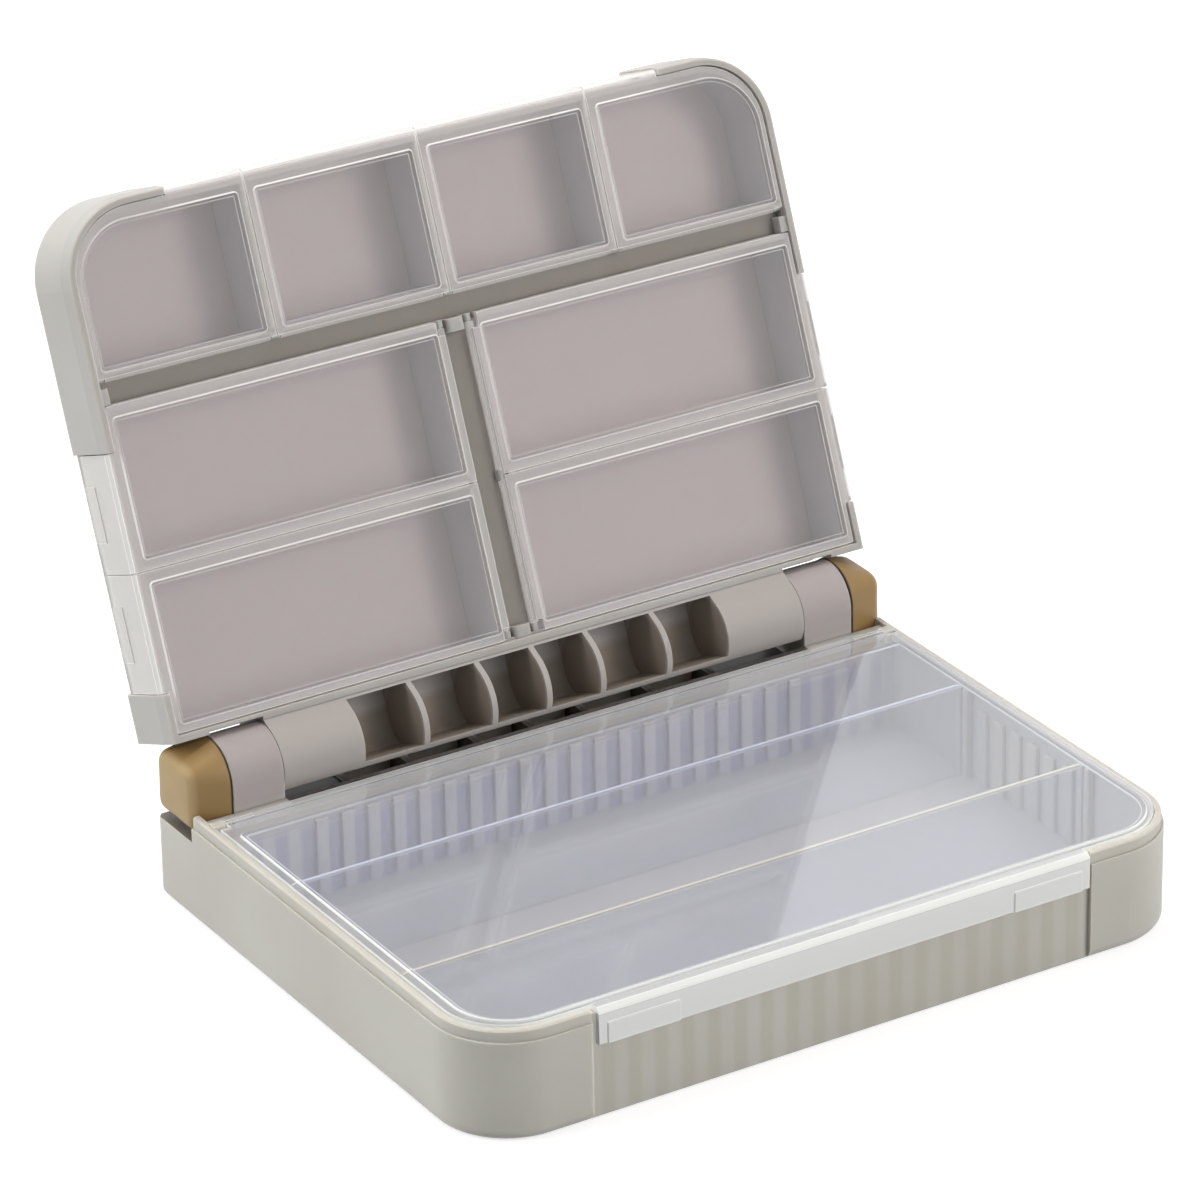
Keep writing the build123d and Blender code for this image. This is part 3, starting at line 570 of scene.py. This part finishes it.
class TackleBoxPlastics(bpy.types.PropertyGroup):
    """Colours of the plastics"""

    tray_colour: bpy.props.FloatVectorProperty(
        name="Lower tray colour", description="Polypropylene of the lower tray", subtype="COLOR",
        min=0.0, max=1.0, default=linear("#B6B3AC"),
    )
    tray_shade: bpy.props.FloatVectorProperty(
        name="Lower tray shade", description="Tone that the lower tray drifts to", subtype="COLOR",
        min=0.0, max=1.0, default=linear("#B1ADA5"),
    )
    upper_colour: bpy.props.FloatVectorProperty(
        name="Upper tray colour", description="Polypropylene of the upper tray", subtype="COLOR",
        min=0.0, max=1.0, default=linear("#A9A6A3"),
    )
    upper_shade: bpy.props.FloatVectorProperty(
        name="Upper tray shade", description="Tone that the upper tray drifts to", subtype="COLOR",
        min=0.0, max=1.0, default=linear("#A5A19C"),
    )
    barrel_colour: bpy.props.FloatVectorProperty(
        name="Barrel colour", description="Opaque polypropylene of the hinge barrel", subtype="COLOR",
        min=0.0, max=1.0, default=linear("#A29B97"),
    )
    lid_tint: bpy.props.FloatVectorProperty(
        name="Upper lid tint", description="Colour of light that passes an upper lid", subtype="COLOR",
        min=0.0, max=1.0, default=linear("#F6F3F3"),
    )
    low_tint: bpy.props.FloatVectorProperty(
        name="Lower lid tint", description="Colour of light that passes the lower lid or a divider",
        subtype="COLOR", min=0.0, max=1.0, default=linear("#EDF0FA"),
    )
    cap_colour: bpy.props.FloatVectorProperty(
        name="Cap colour", description="Tan of the hinge's end caps", subtype="COLOR",
        min=0.0, max=1.0, default=linear("#8A7046"),
    )
    cap_shade: bpy.props.FloatVectorProperty(
        name="Cap shade", description="Darker tone in the tan", subtype="COLOR",
        min=0.0, max=1.0, default=linear("#82663E"),
    )


class TackleBoxStage(bpy.types.PropertyGroup):
    """The floor and the light"""

    floor_size: bpy.props.FloatProperty(
        name="Floor size", description="Side of the square floor", unit="LENGTH", default=6.0, min=1.0
    )
    key_power: bpy.props.FloatProperty(
        name="Key light", description="Power of the broad soft light at the rear left", unit="POWER",
        default=30.0, min=0.0,
    )
    top_power: bpy.props.FloatProperty(
        name="Top light", description="Power of the soft light overhead", unit="POWER",
        default=11.5, min=0.0,
    )
    softbox_power: bpy.props.FloatProperty(
        name="Softbox", description="Power of the softbox at the front right", unit="POWER",
        default=6.8, min=0.0,
    )
    front_power: bpy.props.FloatProperty(
        name="Front light", description="Power of the broad low light in front", unit="POWER",
        default=15.5, min=0.0,
    )
    fill: bpy.props.FloatProperty(
        name="Fill", description="Even light from all round", default=0.34, min=0.0
    )


class TACKLEBOX_OT_trays(bpy.types.Operator):
    """Finish both trays and the hinge barrel in moulded polypropylene"""

    bl_idname = "tacklebox.trays"
    bl_label = "Trays and barrel"

    def execute(self, context):
        plastics = context.scene.tackle_box_plastics
        shell = polypropylene(
            "Moulded polypropylene, base", plastics.tray_colour, plastics.tray_shade, "base"
        )
        upper = polypropylene(
            "Moulded polypropylene, upper", plastics.upper_colour, plastics.upper_shade, "upper"
        )
        barrel = polypropylene(
            "Moulded polypropylene, barrel", plastics.barrel_colour, None, "barrel", body=0.35
        )
        give(shell, ["lower_tray"])
        give(upper, ["upper_tray"])
        give(barrel, ["hinge_barrel"])
        return {"FINISHED"}


class TACKLEBOX_OT_lids(bpy.types.Operator):
    """Finish the lids and the long dividers in clear polystyrene"""

    bl_idname = "tacklebox.lids"
    bl_label = "Lids and dividers"

    def execute(self, context):
        plastics = context.scene.tackle_box_plastics
        low = clear_styrene(
            "Clear polystyrene, lower lid", plastics.low_tint, ("#DFDEDB", "#DEDFE7", "#F0F0EC"),
            UP, LOWER_LID_LEVELS, (0.6, 0.24, 0.175, 0.7), ior=1.76,
        )
        pin = HINGE.dot(W_AXIS) / MM
        high = clear_styrene(
            "Clear polystyrene, upper lids", plastics.lid_tint, ("#D6D2CF", "#D6D3D4", "#E6E3DF"),
            W_AXIS, [pin + level for level in UPPER_LID_LEVELS], (0.5, 0.34, 0.12, 0.75),
        )
        give(low, ["lower_lid"])
        give(high, UPPER_LIDS)
        for divider, haze in DIVIDERS.items():
            strip = clear_styrene(
                "Clear polystyrene, " + divider, plastics.low_tint, [haze],
                UP, DIVIDER_LEVELS, (0.0, 0.85, 0.85, 0.3),
            )
            give(strip, [divider])
        return {"FINISHED"}


class TACKLEBOX_OT_caps(bpy.types.Operator):
    """Make and finish the tan end caps of the hinge"""

    bl_idname = "tacklebox.caps"
    bl_label = "End caps"

    def execute(self, context):
        plastics = context.scene.tackle_box_plastics
        plastic = tan_abs("Moulded tan ABS", plastics.cap_colour, plastics.cap_shade)
        give(plastic, CAPS)
        for side, node in zip((-1, 1), CAPS):
            cap = bpy.data.objects.new(node + "_moulding", cap_surface(side))
            cap.data.materials.append(plastic)
            context.scene.collection.objects.link(cap)
            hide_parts(node)
            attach(cap, "base")
        return {"FINISHED"}


class TACKLEBOX_OT_pins(bpy.types.Operator):
    """Finish the hinge pins in drawn steel"""

    bl_idname = "tacklebox.pins"
    bl_label = "Hinge pins"

    def execute(self, context):
        give(drawn_steel("Drawn steel wire"), PINS)
        return {"FINISHED"}


def floor_material():
    """Matt white board. It looks white, and the shadow on it stays."""
    material, tree = new_material("Matt white board")
    path = add_node(tree, "ShaderNodeLightPath").outputs
    board = add_node(tree, "ShaderNodeBsdfDiffuse", {"Color": (0.5, 0.5, 0.5, 1.0)}).outputs[0]
    glow = add_node(tree, "ShaderNodeEmission", {"Strength": 0.62}).outputs[0]
    seen = add_node(tree, "ShaderNodeAddShader", {0: board, 1: glow}).outputs[0]
    plain = add_node(tree, "ShaderNodeBsdfDiffuse", {"Color": (0.35, 0.35, 0.35, 1.0)}).outputs[0]
    white = add_node(tree, "ShaderNodeEmission", {"Strength": 1.0}).outputs[0]
    mirrored = add_node(
        tree, "ShaderNodeMath", {0: path["Is Glossy Ray"], 1: path["Is Transmission Ray"]},
        operation="MAXIMUM",
    ).outputs[0]
    far = add_node(tree, "ShaderNodeMixShader", {0: mirrored, 1: plain, 2: white}).outputs[0]
    surface = add_node(
        tree, "ShaderNodeMixShader", {0: path["Is Camera Ray"], 1: far, 2: seen}
    ).outputs[0]
    add_node(tree, "ShaderNodeOutputMaterial", {"Surface": surface})
    return material


def light_world(world, fill):
    """White where the camera, a reflection or a clear lid sees it, and an even fill elsewhere."""
    world.use_nodes = True
    tree = world.node_tree
    tree.nodes.clear()
    path = add_node(tree, "ShaderNodeLightPath").outputs
    seen = path["Is Camera Ray"]
    for ray in ("Is Glossy Ray", "Is Transmission Ray"):
        seen = add_node(tree, "ShaderNodeMath", {0: seen, 1: path[ray]}, operation="MAXIMUM").outputs[0]
    lamp, white = (
        add_node(
            tree, "ShaderNodeBackground", {"Color": (1.0, 1.0, 1.0, 1.0), "Strength": strength}
        ).outputs[0]
        for strength in (fill, 1.0)
    )
    both = add_node(tree, "ShaderNodeMixShader", {0: seen, 1: lamp, 2: white}).outputs[0]
    add_node(tree, "ShaderNodeOutputWorld", {"Surface": both})


def soft_lamp(name, power):
    """A square soft lamp that faces the object's middle, and isn't mirrored in it."""
    direction, distance, width, colour = LAMPS[name]
    direction = Vector(direction).normalized()
    data = bpy.data.lights.new(name, "AREA")
    data.size = width
    data.energy = power
    data.color = colour
    lamp = bpy.data.objects.new(name, data)
    bpy.context.scene.collection.objects.link(lamp)
    lamp.location = MIDDLE + distance * direction
    lamp.rotation_euler = (MIDDLE - lamp.location).to_track_quat("-Z", "Y").to_euler()
    lamp.visible_glossy = False
    lamp.visible_transmission = False


class TACKLEBOX_OT_stage(bpy.types.Operator):
    """Set the floor, the soft lamps and the view"""

    bl_idname = "tacklebox.stage"
    bl_label = "Stage"

    def execute(self, context):
        scene = context.scene
        stage = scene.tackle_box_stage
        half = stage.floor_size / 2
        corners = [(-half, -half, 0.0), (half, -half, 0.0), (half, half, 0.0), (-half, half, 0.0)]
        mesh = bpy.data.meshes.new("floor")
        mesh.from_pydata(corners, [], [(0, 1, 2, 3)])
        mesh.materials.append(floor_material())
        floor = bpy.data.objects.new("floor", mesh)
        scene.collection.objects.link(floor)

        scene.world = bpy.data.worlds.new("studio")
        light_world(scene.world, stage.fill)
        for name in LAMPS:
            soft_lamp(name, getattr(stage, name + "_power"))

        data = bpy.data.cameras.new("view")
        data.sensor_width = 36.0
        data.lens = VIEW_LENS
        data.clip_start = 0.05
        camera = bpy.data.objects.new("view", data)
        scene.collection.objects.link(camera)
        back = VIEW_RIGHT.cross(VIEW_UP).normalized()
        turn = Matrix((VIEW_RIGHT, VIEW_UP, back)).transposed().to_4x4()
        camera.matrix_world = Matrix.Translation(VIEW_PLACE) @ turn
        scene.camera = camera
        scene.view_settings.view_transform = "Standard"
        return {"FINISHED"}


class TACKLEBOX_PT_panel(bpy.types.Panel):
    """The making steps and what they read"""

    bl_label = "Tackle Box"
    bl_idname = "TACKLEBOX_PT_panel"
    bl_space_type = "VIEW_3D"
    bl_region_type = "UI"
    bl_category = "Tackle Box"

    def draw(self, context):
        column = self.layout.column()
        for step in STEPS:
            column.operator(step.bl_idname)
        for group in (context.scene.tackle_box_plastics, context.scene.tackle_box_stage):
            for name in group.__annotations__:
                column.prop(group, name)


STEPS = (TACKLEBOX_OT_trays, TACKLEBOX_OT_lids, TACKLEBOX_OT_caps, TACKLEBOX_OT_pins, TACKLEBOX_OT_stage)
CLASSES = (TackleBoxPlastics, TackleBoxStage, *STEPS, TACKLEBOX_PT_panel)


def register():
    """Registers the classes and hangs the property groups on the scene."""
    for kind in CLASSES:
        bpy.utils.register_class(kind)
    bpy.types.Scene.tackle_box_plastics = bpy.props.PointerProperty(type=TackleBoxPlastics)
    bpy.types.Scene.tackle_box_stage = bpy.props.PointerProperty(type=TackleBoxStage)


def unregister():
    """Takes away what register adds."""
    del bpy.types.Scene.tackle_box_stage
    del bpy.types.Scene.tackle_box_plastics
    for kind in reversed(CLASSES):
        bpy.utils.unregister_class(kind)


def main():
    """Builds everything in order."""
    register()
    bpy.ops.tacklebox.trays()
    bpy.ops.tacklebox.lids()
    bpy.ops.tacklebox.caps()
    bpy.ops.tacklebox.pins()
    bpy.ops.tacklebox.stage()
    bpy.context.view_layer.update()


if __name__ == "__main__":
    main()
